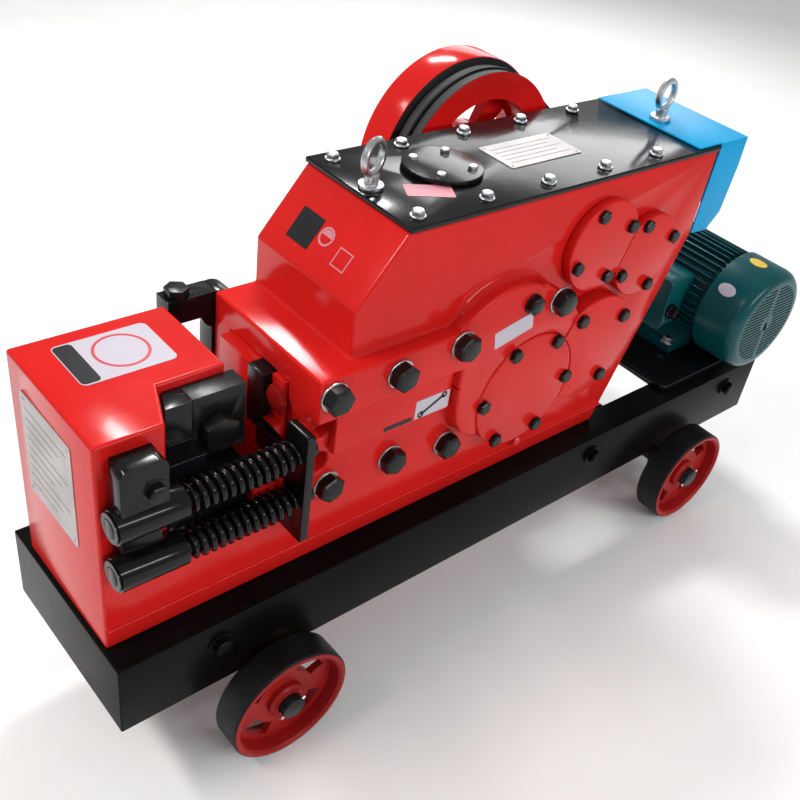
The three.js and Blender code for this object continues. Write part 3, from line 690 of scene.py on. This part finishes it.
def build_slope_labels():
    """Dark label on the sloped wall, and two plain signs beside it."""
    on_slope = flat_frame(291, 0, 328, NEAR, SLOPE)
    bm = bmesh.new()
    add_outline(bm, rounded(-54, -16, 20, 58, 2), on_slope, 0, STICKER)
    piece("slope_label", bm, ["label_black"])

    bm = bmesh.new()
    ring = flat_frame(319, 2, 362.4, NEAR, SLOPE)
    add_turned(bm, [(8.6, 0), (8.6, STICKER), (11, STICKER), (11, 0)], ring, 48)
    add_outline(bm, [(-8.5, 0.5), (8.5, 0.5), (6, 6), (0, 8.4), (-6, 6)], ring, 0, 0.35)
    low, high, line = 23, 45, 1.4
    for edge in (bar(low, high, low, low + line), bar(low, high, high - line, high),
                 bar(low, low + line, low + line, high - line),
                 bar(high - line, high, low + line, high - line)):
        add_outline(bm, edge, on_slope, 0, 0.35)
    piece("slope_signs", bm, ["label_pink"])


def build_boss_label():
    bm = bmesh.new()
    add_outline(bm, rounded(-31, 31, -12, 12, 2), on_side(519, SLAB_Y, 248, 12), 0, STICKER)
    piece("boss_label", bm, ["label_white"])


def build_gib_label():
    """Label with a slanted bar that ends in two rings, and a short dark mark beside it."""
    bm = bmesh.new()
    x, z = 413, 173
    lift = GIB_FACE - 0.3
    on_gib = on_side(416, GIB_FACE, z)
    add_outline(bm, rounded(-29, 23, -13, 13, 2), on_gib, 0, 0.35)
    slant, reach = 26, 19
    add_outline(bm, rounded(-reach, reach, -1.8, 1.8, 1.6), on_side(x, lift, z, slant), 0, STICKER, 1)
    for end in (-reach, reach):
        ring_x, ring_z = polar((x, z), end, slant)
        add_turned(bm, [(2.2, 0), (2.2, STICKER), (4.6, STICKER), (4.6, 0)],
                   on_side(ring_x, lift, ring_z), 24, 1)
    add_outline(bm, rounded(-74, -33, -13, -7, 1), on_gib, 0, 0.35, 1)
    piece("gib_label", bm, ["label_white", "label_black"])


# ---- housing trim -----------------------------------------------------------------------------------
BOSS = (510, 208)
BOSS_RADIUS = 102


def cove_section(size, steps=8):
    """(radius, y) outline of the cove: a hollow quarter round, closed just inside the metal."""
    section = [(BOSS_RADIUS - 2, WALL_Y + 1)]
    for k in range(steps + 1):
        bend = math.pi / 2 * k / steps
        section.append((BOSS_RADIUS + size - size * math.cos(bend) - 0.3,
                        WALL_Y - size + size * math.sin(bend) - 0.1))
    section.append((BOSS_RADIUS + size - 0.3, WALL_Y + 1))
    return section


def build_boss_fillet():
    """Cast cove where the raised boss meets the near wall, round the top of its arch."""
    bm = bmesh.new()
    cove, first, last, steps = 13.0, 37.0, 137.0, 72
    rings = []
    for n in range(steps + 1):
        turn = first + (last - first) * n / steps
        fade = min(1.0, 8.0 * n / steps, 8.0 * (1 - n / steps))
        ring = []
        for radius, y in cove_section(cove * (0.15 + 0.85 * fade)):
            x, z = polar(BOSS, radius, turn)
            ring.append(bm.verts.new(place(x, y, z)))
        rings.append(ring)
    add_skin(bm, rings)
    piece("boss_fillet", bm, ["red_paint"], angle=50)


def build_weld_seam():
    """Low wavy weld bead along the foot of the near wall."""
    bm = bmesh.new()
    foot, around, start, end, count = 26, 8, 8, 778, 260
    rings = []
    for n in range(count + 1):
        x = start + (end - start) * n / count
        swell = 2.0 + 0.35 * math.sin(n * 1.9)
        turns = [2 * math.pi * k / around for k in range(around)]
        rings.append([bm.verts.new(place(x, WALL_Y + swell * math.sin(t), foot + swell * math.cos(t)))
                      for t in turns])
    add_skin(bm, rings)
    piece("weld_seam", bm, ["red_paint"], angle=70)


def build_ram_screw():
    """Screw that holds the moving blade, and the bolt of the spring bracket."""
    bm = bmesh.new()
    add_hex_bolt(bm, frame_at(234, -48, 216, (-1, 0, 0)), 28, 8)
    piece("ram_screw", bm, ["cast_red"], "ram_unit", bevel=0.6)
    bm = bmesh.new()
    add_hex_bolt(bm, frame_at(50, -118, 224, NEAR), 19, 8, 14)
    piece("bracket_bolt", bm, ["dark_steel"], bevel=0.4)


def build_plugs():
    """Drain plug and dowel in the near wall, and the bolts through the bench channels."""
    bm = bmesh.new()
    for x, z in ((595, 36), (834, 285)):
        add_hex_bolt(bm, frame_at(x, WALL_Y, z, NEAR), 13, 6, 9, turn=0.3)
    piece("wall_plugs", bm, ["red_paint"], bevel=0.5)
    bm = bmesh.new()
    for x in (120, 743, 1080):
        for side in (-1, 1):
            add_hex_bolt(bm, frame_at(x, side * BENCH_HALF, -32, (0, side, 0)), 19, 9, 15, turn=0.2)
    piece("channel_bolts", bm, ["bench_black"], bevel=0.5)


# ---- motor ------------------------------------------------------------------------------------------
MOTOR = (1091, 102)
BODY_NEAR = -72
BODY_FAR = 96
BODY_RADIUS = 74
COWL_NEAR = -146
COWL_RADIUS = 86


def motor_frame_at(y, x_axis=(1, 0, 0)):
    return flat_frame(MOTOR[0], y, MOTOR[1], x_axis, UP)


def add_motor_fins(bm):
    count = 44
    for i in range(count):
        angle = 2 * math.pi * i / count
        if math.sin(angle) < -0.6:  # the feet take this part
            continue
        radial = Vector((math.cos(angle), 0, math.sin(angle)))
        fin = flat_frame(MOTOR[0], 0, MOTOR[1], radial, FAR)
        add_outline(bm, [(72, -64), (81.5, -60), (81.5, 84), (72, 88)], fin, -1.1, 1.1)


def build_motor_housing():
    bm = bmesh.new()
    at = frame_at(MOTOR[0], 0, MOTOR[1], FAR)
    add_turned(bm, [(62, BODY_NEAR + 6), (BODY_RADIUS, BODY_NEAR), (BODY_RADIUS, BODY_FAR),
                    (60, BODY_FAR)], at, 96)
    add_motor_fins(bm)
    sole = -89.5
    for side in (-1, 1):
        foot = [(side * 88, sole), (side * 88, -78), (side * 74, -74), (side * 52, -38),
                (side * 30, -38), (side * 30, sole)]
        add_outline(bm, foot, motor_frame_at(-45), -130, 0)
    add_outline(bm, rounded(-36, 64, -34, 46, 6), motor_frame_at(0, FAR), -92, -60)
    body = piece("motor_housing", bm, ["teal_paint"], bevel=0.6)
    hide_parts("motor_frame")


def build_fan_cowl():
    bm = bmesh.new()
    at = frame_at(MOTOR[0], 0, MOTOR[1], FAR)
    add_turned(bm, [(COWL_RADIUS, -70), (COWL_RADIUS, -128), (84.5, -135), (81, -141), (76, -145),
                    (70, COWL_NEAR), (66, COWL_NEAR), (66, -143), (69, -143), (75, -141.5),
                    (80, -137), (83, -129), (83.5, -70)], at, 96)
    grille = motor_frame_at(-143)
    reach, pitch, half_bar = 67.5, 5.8, 1.6
    for row in range(-11, 12):
        z = row * pitch
        half = math.sqrt(max(0.0, reach ** 2 - z * z))
        if half > 10:
            add_outline(bm, bar(-half, half, z - half_bar, z + half_bar), grille, 0, 2.8)
    add_outline(bm, bar(-4, 4, -67, 67), grille, 0, 3.0)
    add_turned(bm, [(0.5, -143.2), (15, -143.2), (16, -145), (15, COWL_NEAR), (0.5, COWL_NEAR)],
               at, 36)
    cowl = piece("fan_cowl", bm, ["teal_paint"], bevel=0.3)
    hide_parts("fan_cover")


def build_motor_fittings():
    bm = bmesh.new()
    for side in (-1, 1):
        for y in (-32, 72):
            add_hex_bolt(bm, frame_at(MOTOR[0] + side * 76, y, 24, UP), 16, 7, 12)
    piece("motor_foot_bolts", bm, ["zinc"], bevel=0.4)

    bm = bmesh.new()
    gland = frame_at(MOTOR[0] - 112, -38, MOTOR[1] - 4, NEAR)
    add_turned(bm, [(5, 0), (12, 0), (12, 5), (10, 6), (10, 14), (7, 18), (5, 18)], gland, 24)
    piece("cable_gland", bm, ["black_paint"], bevel=0.4)


def build_cowl_sticker(name, look, degrees, y):
    """Round sticker that follows the curve of the cowl."""
    bm = bmesh.new()
    rings = []
    for i in range(17):
        across = -1 + i / 8
        half = 15 * math.sqrt(max(0.02, 1 - across * across))
        turn = degrees + math.degrees(across * 10 / COWL_RADIUS)
        ring = []
        for radius, end in ((COWL_RADIUS - 0.4, -half), (COWL_RADIUS - 0.4, half),
                            (COWL_RADIUS + 0.4, half), (COWL_RADIUS + 0.4, -half)):
            x, z = polar(MOTOR, radius, turn)
            ring.append(bm.verts.new(place(x, y + end, z)))
        rings.append(ring)
    add_skin(bm, rings)
    piece(name, bm, [look], angle=40)


# ---- floor, light, world ----------------------------------------------------------------------------
def build_stage():
    bm = bmesh.new()
    bmesh.ops.create_grid(bm, x_segments=2, y_segments=2, size=6.0)
    mesh = bpy.data.meshes.new("floor")
    bm.to_mesh(mesh)
    bm.free()
    floor = bpy.data.objects.new("floor", mesh)
    bpy.context.scene.collection.objects.link(floor)
    mesh.materials.append(surface("floor", (0.93, 0.93, 0.93), 0.6, mottle=0.01, grain=0.02))


def area_light(name, location, target, size, power, color=(1, 1, 1)):
    data = bpy.data.lights.new(name, "AREA")
    data.shape = "RECTANGLE"
    data.size, data.size_y = size
    data.energy = power
    data.color = color
    light = bpy.data.objects.new(name, data)
    bpy.context.scene.collection.objects.link(light)
    aim = (Vector(target) - Vector(location)).to_track_quat("-Z", "Y").to_matrix().to_4x4()
    light.matrix_world = Matrix.Translation(location) @ aim


def build_light():
    world = bpy.data.worlds.new("studio")
    world.use_nodes = True
    background = world.node_tree.nodes["Background"]
    background.inputs["Color"].default_value = (1, 1, 1, 1)
    background.inputs["Strength"].default_value = 0.42
    bpy.context.scene.world = world
    bpy.context.scene.view_settings.view_transform = "Standard"
    area_light("key", (-2.0, 0.6, 2.6), (-0.2, 0, 0.3), (1.4, 0.28), 50, (1, 0.97, 0.94))
    area_light("overhead", (0.9, 1.5, 2.6), (0.1, 0, 0.4), (0.7, 0.3), 42)
    area_light("side", (0.4, -3.0, 1.9), (0, 0, 0.35), (2.2, 0.18), 42)
    area_light("back", (2.2, 1.8, 1.6), (0.2, 0, 0.4), (1.4, 1.2), 20)


finish_cad_nodes()
build_wheels()
build_flywheel()
for spring_node, spring_height in zip(("return_spring_upper", "return_spring_lower"), SPRING_Z):
    build_spring(spring_node, spring_height)
build_rod_ends()
build_side_bolts()
build_cover_bolts()
build_top_bolts()
build_nameplates()
build_nameplate_rules()
build_head_sticker()
build_cover_sticker()
build_slope_labels()
build_boss_label()
build_gib_label()
build_weld_seam()
build_boss_fillet()
build_ram_screw()
build_plugs()
build_motor_housing()
build_fan_cowl()
build_motor_fittings()
build_cowl_sticker("cowl_sticker_low", "label_white", 142, -97)
build_cowl_sticker("cowl_sticker_top", "label_yellow", 94, -100)
build_stage()
build_light()
